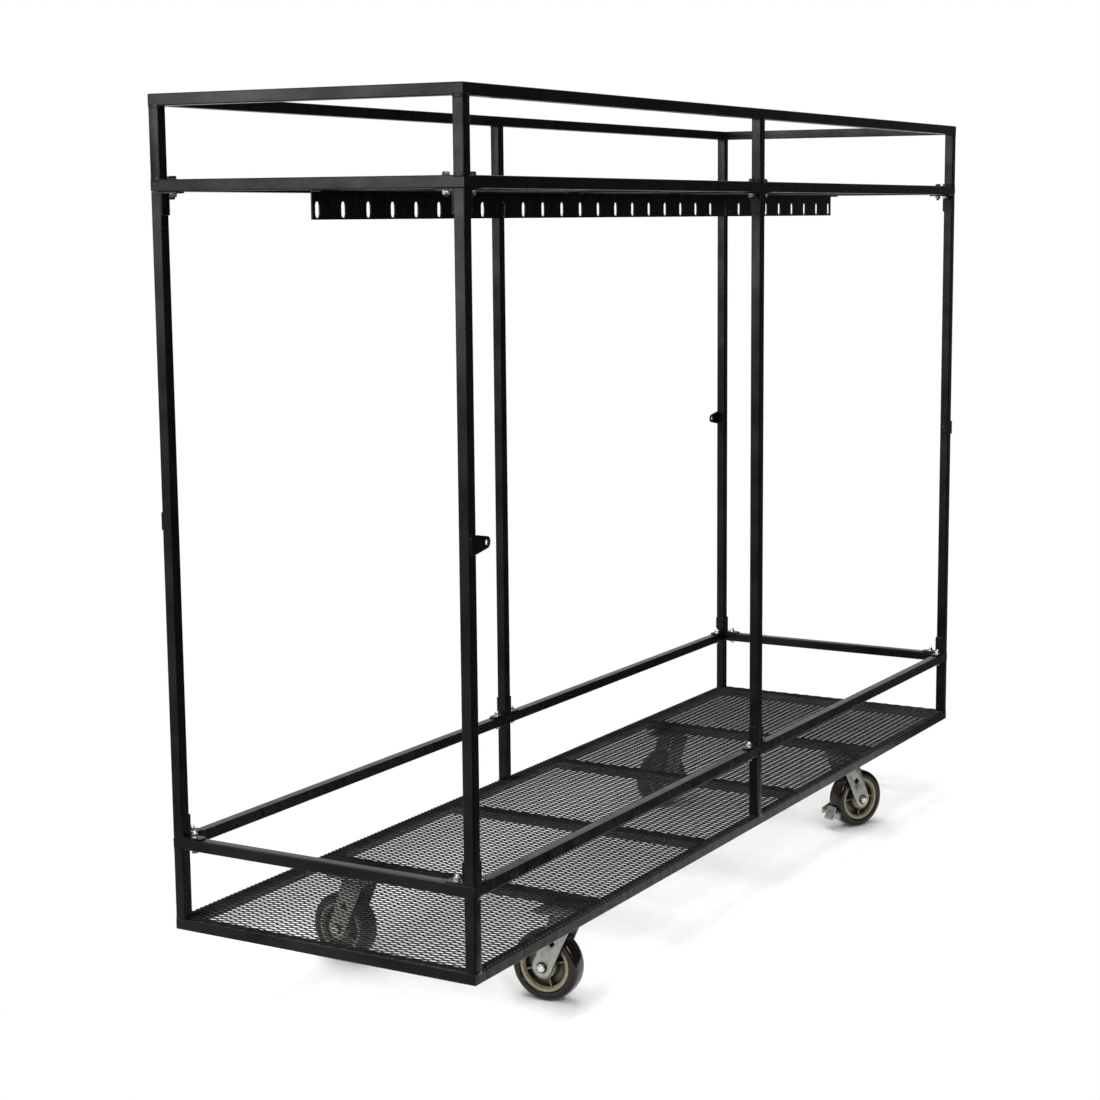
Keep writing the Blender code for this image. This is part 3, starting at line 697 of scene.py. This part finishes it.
def deck_sheet():
    """Raised expanded metal: zigzag strands that lean over, bonded where they meet."""
    low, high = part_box("deck_mesh")
    across = round((high.x - low.x) / DIAMOND_SHORT)
    pitch = (high.x - low.x) / across
    halves = 2 * round((high.y - low.y) / DIAMOND_LONG)
    step = (high.y - low.y) / halves
    swing = (pitch / 2 - BOND) / 2
    rail_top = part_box("base_rail_left")[1].z
    height = STRAND_WIDTH * abs(math.sin(STRAND_TILT)) + STRAND_THICKNESS * math.cos(STRAND_TILT)
    level = rail_top + height / 2
    upright = Matrix.Rotation(math.pi / 2, 4, "X")
    section = upright @ Matrix.Diagonal((STRAND_WIDTH, STRAND_THICKNESS, 1, 1))
    lean = Matrix.Rotation(STRAND_TILT, 3, "Y")
    bm = bmesh.new()
    for sign, middle in ((1, pitch / 4), (-1, 3 * pitch / 4)):
        strand = bmesh.new()
        bmesh.ops.create_grid(strand, x_segments=1, y_segments=1, size=0.5, matrix=section)
        bmesh.ops.delete(strand, geom=strand.faces[:], context="FACES_ONLY")
        bmesh.ops.rotate(strand, verts=strand.verts, cent=(0, 0, 0), matrix=lean)
        bmesh.ops.spin(
            strand,
            geom=strand.verts[:] + strand.edges[:],
            cent=(0, 0, 0),
            axis=(0, 0, 1),
            dvec=(0, step, 0),
            angle=0.0,
            steps=halves,
        )
        for vert in strand.verts:
            turn = 1 if round(vert.co.y / step) % 2 else -1
            vert.co.x += sign * turn * swing
        bmesh.ops.holes_fill(strand, edges=strand.edges[:], sides=4)
        add_shape(bm, strand, Matrix.Translation((low.x + middle, low.y, level)))
    pair = bm.verts[:] + bm.edges[:] + bm.faces[:]
    for k in range(1, across):
        made = bmesh.ops.duplicate(bm, geom=pair)["geom"]
        verts = [item for item in made if isinstance(item, bmesh.types.BMVert)]
        bmesh.ops.translate(bm, verts=verts, vec=(k * pitch, 0, 0))
    middle_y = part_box("guard_rail_front")[0].y + TUBE / 2
    posts = [post_centre(corner) for corner in CORNERS]
    posts += [Vector((0, middle_y)), Vector((0, -middle_y))]
    reach = TUBE / 2 + POST_GAP + STRAND_WIDTH / 2
    for centre in posts:
        side = math.copysign(1, centre.y)
        edge = abs(centre.y) - TUBE / 2 - POST_GAP
        near = {
            vert
            for vert in bm.verts
            if abs(vert.co.x - centre.x) < reach + swing and vert.co.y * side > edge - step
        }
        faces = {face for vert in near for face in vert.link_faces}
        faces = {face for face in faces if abs(face.calc_center_median().x - centre.x) < reach}
        lines = {line for face in faces for line in face.edges}
        points = {vert for face in faces for vert in face.verts}
        bmesh.ops.bisect_plane(
            bm,
            geom=list(points) + list(lines) + list(faces),
            plane_co=(0, side * edge, 0),
            plane_no=(0, side, 0),
            clear_outer=True,
        )
    open_edges = [edge for edge in bm.edges if edge.is_boundary]
    bmesh.ops.holes_fill(bm, edges=open_edges, sides=6)
    make_piece("deck_expanded_metal", bm, ENAMEL, "frame", ["deck_mesh"], sharp=30)


# ---------------------------------------------------------------- welds


def add_bead(bm, start, end, radius):
    """A weld bead: drops laid one over the next along a line."""
    start = Vector(start)
    line = Vector(end) - start
    steps = max(4, round(line.length / BEAD_RING))
    bead = bmesh.new()
    bmesh.ops.create_circle(bead, cap_ends=False, segments=BEAD_SIDES, radius=radius)
    bmesh.ops.spin(
        bead,
        geom=bead.verts[:] + bead.edges[:],
        cent=(0, 0, 0),
        axis=(0, 0, 1),
        dvec=(0, 0, line.length / steps),
        angle=0.0,
        steps=steps,
    )
    shift = start.x * 40 + start.y * 90 + start.z * 70
    for vert in bead.verts:
        ring = round(vert.co.z / line.length * steps)
        drop = abs(math.sin(math.pi * ring / DROP_RINGS + 0.4))
        size = BEAD_LEAST + BEAD_SWELL * drop + BEAD_WANDER * math.sin(1.7 * ring + shift)
        if ring in (0, steps):
            size = BEAD_TIP
        vert.co.x *= size
        vert.co.y *= size
    bmesh.ops.holes_fill(bead, edges=bead.edges[:], sides=BEAD_SIDES)
    turn = line.to_track_quat("Z", "Y").to_matrix().to_4x4()
    add_shape(bm, bead, Matrix.Translation(start) @ turn)


def stands():
    """Where the six uprights stand, and which way their brackets point."""
    found = {}
    for corner in CORNERS:
        centre = post_centre(corner)
        along = Vector((-math.copysign(1, centre.x), 0))
        across = Vector((0, -math.copysign(1, centre.y)))
        found[corner] = (centre, [along, across])
    y = abs(post_centre("front_left").y)
    for name, side in (("front_middle", -1), ("back_middle", 1)):
        found[name] = (Vector((0, side * y)), [Vector((1, 0)), Vector((-1, 0))])
    return found


def bracket_welds():
    """Two beads on each bracket, up both edges of the leg that lies on the upright."""
    bm = bmesh.new()
    for name, (centre, ways) in stands().items():
        low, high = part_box(f"upright_{name}")
        for way in ways:
            side = Vector((-way.y, way.x))
            for level, rise in ((low.z, 1), (high.z, -1)):
                for hand in (-1, 1):
                    outwards = way * (TUBE / 2 + BRACKET_THICKNESS * 0.55)
                    at = centre + outwards + side * hand * (TUBE / 2 - 1.2 * MM)
                    bottom = Vector((at.x, at.y, level + rise * (BRACKET_THICKNESS + 3 * MM)))
                    top = Vector((at.x, at.y, level + rise * (BRACKET_LEG - 2 * MM)))
                    add_bead(bm, bottom, top, 1.9 * MM)
                at = centre + way * (TUBE / 2 + 1.2 * MM)
                along = side * (TUBE / 2 - 2 * MM)
                height = level + rise * BRACKET_LEG
                add_bead(bm, (*(at - along), height), (*(at + along), height), 1.6 * MM)
    make_piece("bracket_welds", bm, ENAMEL, "frame", sharp=60)


def joint_levels():
    """The heights where the short posts meet the rails under them and over them."""
    pairs = (("base_rail_front", "guard_rail_front"), ("top_lower_rail_front", "top_upper_rail_front"))
    levels = []
    for low_rail, high_rail in pairs:
        levels += [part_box(low_rail)[1].z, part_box(high_rail)[1].z - TUBE]
    return levels


def frame_welds():
    """Small beads in the inside corners where posts, rails and cross members meet."""
    bm = bmesh.new()
    inset = CORNER_SINK
    half = TUBE / 2 + inset
    levels = joint_levels()
    for centre, ways in stands().values():
        for way in ways:
            side = Vector((-way.y, way.x))
            at = centre + way * half
            along = side * (TUBE / 2 - 2.5 * MM)
            for k, level in enumerate(levels):
                z = level + (inset if k % 2 == 0 else -inset)
                add_bead(bm, (*(at - along), z), (*(at + along), z), 1.3 * MM)
    for kind in ("cross_member", "top_cross_bar"):
        for k in range(1, 5):
            low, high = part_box(f"{kind}_{k}")
            for y, inward in ((low.y, 1), (high.y, -1)):
                for x in (low.x - inset, high.x + inset):
                    start = (x, y + inward * inset, low.z + 2.5 * MM)
                    end = (x, y + inward * inset, high.z - 2.5 * MM)
                    add_bead(bm, start, end, 1.4 * MM)
                start = (low.x + 2.5 * MM, y + inward * inset, low.z - inset)
                end = (high.x - 2.5 * MM, y + inward * inset, low.z - inset)
                add_bead(bm, start, end, 1.2 * MM)
    make_piece("frame_welds", bm, ENAMEL, "frame", sharp=60)


def flush_welds():
    """The outside welds of the corner posts, ground flush: skins over the joints, a hair proud."""
    bm = bmesh.new()
    joints = joint_levels()
    for name, (centre, ways) in stands().items():
        outer = [-way for way in ways] if name in CORNERS else [Vector((0, math.copysign(1, centre.y)))]
        for way in outer:
            turn = Matrix.Rotation(math.atan2(way.y, way.x), 4, "Z")
            at = centre + way * TUBE / 2
            for z in joints:
                skin = block((2 * FLUSH_SKIN, TUBE - 2.4 * MM, FLUSH_HEIGHT), FLUSH_SKIN * 0.9)
                add_shape(bm, skin, Matrix.Translation((at.x, at.y, z)) @ turn)
    make_piece("flush_corner_welds", bm, ENAMEL, "frame")


def hanger_welds():
    """Beads that hold the hanger rail's flange to the four cross bars."""
    bm = bmesh.new()
    low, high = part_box("hanger_rail")
    for k in range(1, 5):
        bar_low, bar_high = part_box(f"top_cross_bar_{k}")
        for y in (low.y, high.y):
            start = (bar_low.x + 2 * MM, y, high.z - 0.6 * MM)
            end = (bar_high.x - 2 * MM, y, high.z - 0.6 * MM)
            add_bead(bm, start, end, 1.8 * MM)
    make_piece("hanger_rail_welds", bm, ENAMEL, "frame", sharp=60)


def eye_plate_welds():
    """Beads over and under the root of each eye plate."""
    bm = bmesh.new()
    for corner in CORNERS:
        centre = post_centre(corner)
        low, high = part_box(f"upright_{corner}")
        level = (low.z + high.z) / 2
        side = math.copysign(1, centre.y)
        y = centre.y + side * (TUBE / 2 + 0.6 * MM)
        for rise in (-1, 1):
            z = level + rise * 19.5 * MM
            add_bead(bm, (centre.x - 9 * MM, y, z), (centre.x + 9 * MM, y, z), 1.7 * MM)
        outer = centre.x + math.copysign(10.6 * MM, centre.x)
        add_bead(bm, (outer, y, level - 16 * MM), (outer, y, level + 16 * MM), 1.7 * MM)
    make_piece("eye_plate_welds", bm, ENAMEL, "frame", sharp=60)


def deck_tacks():
    """Small tack welds that hold the edge of the mesh to the rails."""
    bm = bmesh.new()
    low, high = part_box("deck_mesh")
    rail_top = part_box("base_rail_left")[1].z
    edge = 4 * MM
    spots = []
    for k in range(LONG_TACKS + 1):
        x = low.x + 0.035 + (high.x - low.x - 0.07) * k / LONG_TACKS
        spots += [(x, low.y + edge), (x + 0.01, high.y - edge)]
    for k in range(SHORT_TACKS + 1):
        y = low.y + 0.04 + (high.y - low.y - 0.08) * k / SHORT_TACKS
        spots += [(low.x + edge, y), (high.x - edge, y)]
    for k, (x, y) in enumerate(spots):
        size = TACK_RADIUS * (1 + 0.2 * math.sin(3.1 * k))
        place = Matrix.Translation((x, y, rail_top + 0.8 * MM)) @ Matrix.Diagonal((1.5, 0.9, 0.55, 1))
        bmesh.ops.create_icosphere(bm, subdivisions=2, radius=size, matrix=place)
    make_piece("deck_tack_welds", bm, ENAMEL, "frame", sharp=60)


# ---------------------------------------------------------------- fasteners


def bolt_and_head(grip):
    """A bolt with its head and washer, under the ground, and its threaded end above the grip."""
    bm = bmesh.new()
    add_shape(bm, rod(BOLT_RADIUS, grip + 2 * WASHER_HEIGHT), Matrix.Translation((0, 0, grip / 2)))
    add_shape(bm, washer(WASHER_RADIUS, BOLT_RADIUS, WASHER_HEIGHT), FLIP)
    below = Matrix.Translation((0, 0, -WASHER_HEIGHT)) @ FLIP
    add_shape(bm, hexagon(HEAD_RADIUS, HEAD_HEIGHT), below)
    above = Matrix.Translation((0, 0, grip + WASHER_HEIGHT))
    add_shape(bm, threaded_end(BOLT_RADIUS, NUT_HEIGHT + THREAD_END), above)
    return bm


def nut_and_washer(grip):
    """The washer and the nut above the grip."""
    bm = bmesh.new()
    add_shape(bm, washer(WASHER_RADIUS, BOLT_RADIUS, WASHER_HEIGHT), Matrix.Translation((0, 0, grip)))
    above = Matrix.Translation((0, 0, grip + WASHER_HEIGHT))
    add_shape(bm, hexagon(HEAD_RADIUS, NUT_HEIGHT), above)
    return bm


def bolts():
    """Twenty-four bolts: through each bracket's foot and the rail that it lies on."""
    grip = TUBE + BRACKET_THICKNESS + 0.4 * MM
    reach = TUBE / 2 + BOLT_SETBACK
    for name, (centre, ways) in stands().items():
        low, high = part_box(f"upright_{name}")
        for k, way in enumerate(ways):
            at = centre + way * reach
            turn = Matrix.Rotation(0.7 * k + 3 * at.x + 5 * at.y, 4, "Z")
            under = Matrix.Translation((at.x, at.y, low.z - TUBE - SEAT_GAP)) @ turn
            over = Matrix.Translation((at.x, at.y, high.z + TUBE + SEAT_GAP)) @ FLIP @ turn
            for level, place in (("guard", under), ("top", over)):
                bolt = bolt_and_head(grip)
                bolt.transform(place)
                finish = DARK_STEEL if level == "top" else BRIGHT_STEEL
                make_piece(f"bolt_{level}_{name}_{k + 1}", bolt, finish, "frame")
                nut = nut_and_washer(grip)
                nut.transform(place)
                make_piece(f"nut_{level}_{name}_{k + 1}", nut, BRIGHT_STEEL, "frame")


# ---------------------------------------------------------------- casters


def caster_place(corner):
    """The caster's own frame: its origin is on the floor under the swivel axis."""
    low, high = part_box(f"caster_plate_{corner}")
    swivel = (low + high) / 2
    low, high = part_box(f"wheel_core_{corner}")
    wheel = (low + high) / 2
    heading = math.atan2(wheel.y - swivel.y, wheel.x - swivel.x)
    return Matrix.Translation((swivel.x, swivel.y, 0)) @ Matrix.Rotation(heading, 4, "Z")


def fork(corner, place):
    """Pressed fork: a crown that bends down into two legs with a diamond window, and the axle bolt."""
    bm = bmesh.new()
    swivel = f"swivel_{corner}"
    thickness = FORK_OUTER - FORK_INNER
    window_x = (LEG_TOP_OFFSET + TRAIL) / 2
    window_z = (CROWN_FLOOR + WHEEL_RADIUS) / 2
    for sign in (-1, 1):
        y = sign * (FORK_INNER + thickness / 2)
        top = Matrix.Translation((LEG_TOP_OFFSET, y, CROWN_FLOOR))
        end = Matrix.Translation((TRAIL, y, WHEEL_RADIUS)) @ ACROSS
        plate = block((LEG_TOP_WIDTH, thickness, 1 * MM))
        leg = hull([(plate, top), (rod(LEG_END_RADIUS, thickness, 32), end)])
        window = rod(WINDOW_RADIUS, 3 * thickness, 4)
        corners = [
            edge for edge in window.edges if abs(edge.verts[0].co.z - edge.verts[1].co.z) > thickness
        ]
        bevel(window, corners, WINDOW_ROUND, 3)
        window.transform(Matrix.Translation((window_x, y, window_z)) @ ACROSS)
        add_shape(bm, round_edges(cut(leg, window), 0.7 * MM))
    crown = block((LEG_TOP_WIDTH, 2 * FORK_OUTER, CROWN_THICKNESS))
    bends = [
        edge
        for edge in crown.edges
        if all(vert.co.z > 0 for vert in edge.verts)
        and abs(edge.verts[0].co.y - edge.verts[1].co.y) < MM
    ]
    bevel(crown, bends, CROWN_BEND, 6)
    crown_place = Matrix.Translation((LEG_TOP_OFFSET, 0, CROWN_FLOOR + CROWN_THICKNESS / 2))
    add_shape(bm, crown, crown_place)
    far_gap = LEVER_THICKNESS + 2 * LEVER_GAP if corner in BRAKED else 0
    add_shape(
        bm,
        rod(AXLE_RADIUS - 0.2 * MM, 2 * FORK_OUTER + far_gap),
        Matrix.Translation((TRAIL, far_gap / 2, WHEEL_RADIUS)) @ ACROSS,
    )
    nuts = bmesh.new()
    washers = bmesh.new()
    for sign, gap in ((-1, 0), (1, far_gap)):
        outwards = Matrix.Rotation(-sign * math.pi / 2, 4, "X")
        face = Matrix.Translation((TRAIL, sign * (FORK_OUTER + gap), WHEEL_RADIUS)) @ outwards
        add_shape(washers, washer(AXLE_WASHER_RADIUS, AXLE_RADIUS, AXLE_WASHER_HEIGHT), face)
        nut = face @ Matrix.Translation((0, 0, AXLE_WASHER_HEIGHT)) @ Matrix.Rotation(0.35, 4, "Z")
        add_shape(nuts, hexagon(AXLE_NUT_RADIUS, AXLE_NUT_HEIGHT), nut)
        add_shape(nuts, threaded_end(AXLE_RADIUS * 0.9, AXLE_NUT_HEIGHT + 1.2 * MM), nut)
    nuts.transform(place)
    washers.transform(place)
    make_piece(f"axle_nuts_{corner}", nuts, BRIGHT_STEEL, swivel)
    # The axle washers take the darker plated steel, so each nut sits in a dark ring.
    make_piece(f"axle_washers_{corner}", washers, DARK_STEEL, swivel)
    bm.transform(place)
    make_piece(f"fork_{corner}", bm, ZINC, swivel, [f"caster_fork_{corner}"], sharp=40)


def wheel(corner, place):
    """The moulded core with its stepped rim, ribs and hub, and the cast tyre round it."""
    centre = place @ Matrix.Translation((TRAIL, 0, WHEEL_RADIUS)) @ ACROSS
    body = f"wheel_{corner}"
    ring = CORE_RADIUS - RIM_RING
    step = ring - RIM_STEP
    bore = AXLE_RADIUS + 0.3 * MM
    half = [
        (CORE_RADIUS, CORE_HALF - 1 * MM),
        (CORE_RADIUS - 1 * MM, CORE_HALF),
        (ring + 0.8 * MM, CORE_HALF),
        (ring, CORE_HALF - 0.8 * MM),
        (ring, CORE_HALF - 4 * MM),
        (step, CORE_HALF - 5 * MM),
        (step - 2 * MM, WEB_HALF + 2 * MM),
        (step - 4 * MM, WEB_HALF),
        (HUB_RADIUS + 3 * MM, WEB_HALF),
        (HUB_RADIUS + 1 * MM, WEB_HALF + 3 * MM),
        (HUB_RADIUS, CORE_HALF - 2 * MM),
        (HUB_RADIUS - 0.6 * MM, HUB_HALF - 0.8 * MM),
        (HUB_RADIUS - 1.4 * MM, HUB_HALF),
        (bore, HUB_HALF),
    ]
    bm = turned(half + [(radius, -height) for radius, height in reversed(half)], 64)
    inner = HUB_RADIUS - 1 * MM
    outer = step + 1 * MM
    depth = CORE_HALF - 6 * MM
    for k in range(RIBS):
        turn = Matrix.Rotation(2 * math.pi * k / RIBS + RIB_TURN[corner], 4, "Z")
        rib = block((outer - inner, RIB_THICKNESS, 2 * depth), 0.8 * MM)
        add_shape(bm, rib, turn @ Matrix.Translation(((outer + inner) / 2, 0, 0)))
    bm.transform(centre)
    name = f"wheel_core_moulded_{corner}"
    make_piece(name, bm, CORE_PLASTIC, body, [f"wheel_core_{corner}"])

    side = WHEEL_WIDTH / 2
    seat = CORE_RADIUS + 0.2 * MM
    crown = 1.0 * MM
    upper = [(seat, side - 2.5 * MM), (seat + 1.5 * MM, side - 0.8 * MM), (seat + 4 * MM, side)]
    upper += arc((WHEEL_RADIUS - TYRE_ROUND - crown, side - TYRE_ROUND), TYRE_ROUND, 90, 8, 8)
    upper += [(WHEEL_RADIUS - 0.3 * MM, side - 15 * MM), (WHEEL_RADIUS, 0)]
    lower = [(radius, -height) for radius, height in reversed(upper[:-1])]
    bm = turned(upper + lower, 72)
    bm.transform(centre)
    make_piece(f"tyre_cast_{corner}", bm, TYRE_PLASTIC, body, [f"tyre_{corner}"], sharp=50)


def pedal(corner, place):
    """The brake lever beside the wheel, its cross bar, its ribbed pad and its block."""
    arm_y = FORK_OUTER + LEVER_GAP + LEVER_THICKNESS / 2
    bar_x = -PEDAL_AHEAD + PEDAL_BAR
    toe = block((PEDAL_BAR, LEVER_THICKNESS, 2 * PEDAL_BAR))
    eye = rod(LEVER_EYE_RADIUS, LEVER_THICKNESS, 24)
    arm = hull(
        [
            (toe, Matrix.Translation((bar_x, arm_y, PEDAL_HEIGHT))),
            (eye, Matrix.Translation((TRAIL, arm_y, WHEEL_RADIUS)) @ ACROSS),
        ]
    )
    bore = rod(AXLE_RADIUS + 0.3 * MM, 20 * MM)
    bore.transform(Matrix.Translation((TRAIL, arm_y, WHEEL_RADIUS)) @ ACROSS)
    bm = round_edges(cut(arm, bore), 0.6 * MM)
    start = -PEDAL_WIDTH / 2 - PEDAL_BLOCK[1]
    bar = block((PEDAL_BAR * 0.9, arm_y - start, PEDAL_BAR), 1.6 * MM)
    add_shape(bm, bar, Matrix.Translation((bar_x, (start + arm_y) / 2, PEDAL_HEIGHT)))
    tilt = Matrix.Translation((-PEDAL_AHEAD + PEDAL_BAR / 2, 0, PEDAL_HEIGHT))
    tilt = tilt @ Matrix.Rotation(PEDAL_TILT, 4, "Y")
    pad = block((PEDAL_THICKNESS, PEDAL_WIDTH, PEDAL_LENGTH), 1.8 * MM, 3)
    add_shape(bm, pad, tilt)
    for k in range(4):
        rib = block((2 * MM, PEDAL_WIDTH * 0.7, 2.4 * MM), 0.8 * MM)
        along = (k - 1.5) * PEDAL_LENGTH * 0.2
        add_shape(bm, rib, tilt @ Matrix.Translation((-PEDAL_THICKNESS / 2, 0, along)))
    stop = block(PEDAL_BLOCK, 2 * MM, 3)
    stop_place = (bar_x, start + PEDAL_BLOCK[1] / 2 - MM, PEDAL_HEIGHT - PEDAL_BLOCK[2] / 5)
    add_shape(bm, stop, Matrix.Translation(stop_place))
    bm.transform(place)
    make_piece(f"brake_lever_{corner}", bm, ZINC, f"brake_{corner}", [f"brake_pedal_{corner}"])


# ---------------------------------------------------------------- the rack


def finish_cad_nodes():
    """Gives every CAD node that still shows its real finish."""
    for name, obj in frame["nodes"].items():
        if name.startswith(("caster_plate", "caster_fork", "brake_pedal")):
            finish = ZINC
        elif name.startswith("wheel_core"):
            finish = CORE_PLASTIC
        elif name.startswith("tyre"):
            finish = TYRE_PLASTIC
        else:
            finish = ENAMEL
        obj.data.materials.clear()
        obj.data.materials.append(finish)
        round_off(obj)


def round_off(obj):
    """Shades a node's rounded corners as round and its flats as flat."""
    obj.data.shade_smooth()
    weld = obj.modifiers.new("merge_corners", "WELD")
    weld.merge_threshold = 0.01 * MM
    split = obj.modifiers.new("keep_sharp_edges", "EDGE_SPLIT")
    split.split_angle = math.radians(50)
    split.use_edge_sharp = False
    flats = obj.modifiers.new("flat_sides", "WEIGHTED_NORMAL")
    flats.mode = "FACE_AREA"
    flats.weight = 100


finish_cad_nodes()
deck_sheet()
bracket_welds()
frame_welds()
flush_welds()
hanger_welds()
eye_plate_welds()
deck_tacks()
bolts()
for corner in CORNERS:
    place = caster_place(corner)
    fork(corner, place)
    wheel(corner, place)
    if corner in BRAKED:
        pedal(corner, place)


# ---------------------------------------------------------------- studio


def studio():
    """White backdrop paper under the rack, a soft box to the left, one overhead, a strip by the camera,
    soft daylight from above, and a room that is bright on one side."""
    bm = bmesh.new()
    half = CAD_BOX[1] + Vector((FLOOR_MARGIN, FLOOR_MARGIN, 0))
    spread = Matrix.Diagonal((half.x, half.y, 1, 1))
    bmesh.ops.create_grid(bm, x_segments=2, y_segments=2, size=1, matrix=spread)
    mesh = bpy.data.meshes.new("floor")
    bm.to_mesh(mesh)
    bm.free()
    mesh.materials.append(floor_paper(half.x, half.y))
    floor = bpy.data.objects.new("floor", mesh)
    bpy.context.scene.collection.objects.link(floor)

    for name, place, target, size, power in (
        ("soft_box_left", (-6.2, 2.6, 2.5), (0, 0, 1.6), (3.0, 2.4), 90),
        ("soft_box_above", (-0.3, 0.4, 6.0), (0, 0, 0.5), (6, 4), 420),
        ("strip_by_camera", (-3.6, -3.4, 3.0), (-0.5, 0, 0.2), (0.5, 2.6), 120),
    ):
        data = bpy.data.lights.new(name, "AREA")
        data.shape = "RECTANGLE"
        data.size, data.size_y = size
        data.energy = power
        light = bpy.data.objects.new(name, data)
        light.location = place
        light.rotation_mode = "QUATERNION"
        light.rotation_quaternion = (Vector(target) - Vector(place)).to_track_quat("-Z", "Y")
        bpy.context.scene.collection.objects.link(light)
    data = bpy.data.lights.new("soft_daylight", "SUN")
    data.energy = 1.2
    data.angle = math.radians(70)
    light = bpy.data.objects.new("soft_daylight", data)
    light.rotation_euler = (math.radians(12), math.radians(-18), 0)
    bpy.context.scene.collection.objects.link(light)

    world = bpy.data.worlds.new("studio")
    bpy.context.scene.world = world
    world.use_nodes = True
    tree = world.node_tree
    tree.nodes.clear()
    output = add_node(tree, "ShaderNodeOutputWorld")
    way = add_node(tree, "ShaderNodeTexCoord").outputs["Generated"]
    towards = add_node(tree, "ShaderNodeVectorMath", {0: way, 1: BRIGHT_SIDE}, operation="DOT_PRODUCT")
    glow = add_node(
        tree,
        "ShaderNodeMapRange",
        {
            "Value": towards.outputs["Value"],
            "From Min": -0.3,
            "From Max": 0.55,
            "To Min": 0.05,
            "To Max": 0.72,
        },
    )
    room = add_node(
        tree, "ShaderNodeBackground", {"Color": linear("#ffffff"), "Strength": glow.outputs["Result"]}
    )
    backdrop = add_node(tree, "ShaderNodeBackground", {"Color": linear(BACKDROP), "Strength": 1.0})
    seen = add_node(tree, "ShaderNodeLightPath").outputs["Is Camera Ray"]
    sky = add_node(
        tree,
        "ShaderNodeMixShader",
        {0: seen, 1: room.outputs["Background"], 2: backdrop.outputs["Background"]},
    )
    tree.links.new(sky.outputs["Shader"], output.inputs["Surface"])
    bpy.context.scene.view_settings.view_transform = "Standard"


def camera():
    """A 72 mm lens at eye height, off the rack's front left corner, shifted a little off its axis."""
    data = bpy.data.cameras.new("camera")
    data.sensor_width = 36
    data.lens = 72.0249
    data.shift_x = -0.053636
    data.shift_y = -0.012182
    data.clip_end = 200
    obj = bpy.data.objects.new("camera", data)
    obj.location = (-4.9503, -2.6976, 1.765)
    obj.rotation_euler = [math.radians(angle) for angle in (81.6507, 0.2992, -61.0305)]
    bpy.context.scene.collection.objects.link(obj)
    bpy.context.scene.camera = obj


studio()
camera()
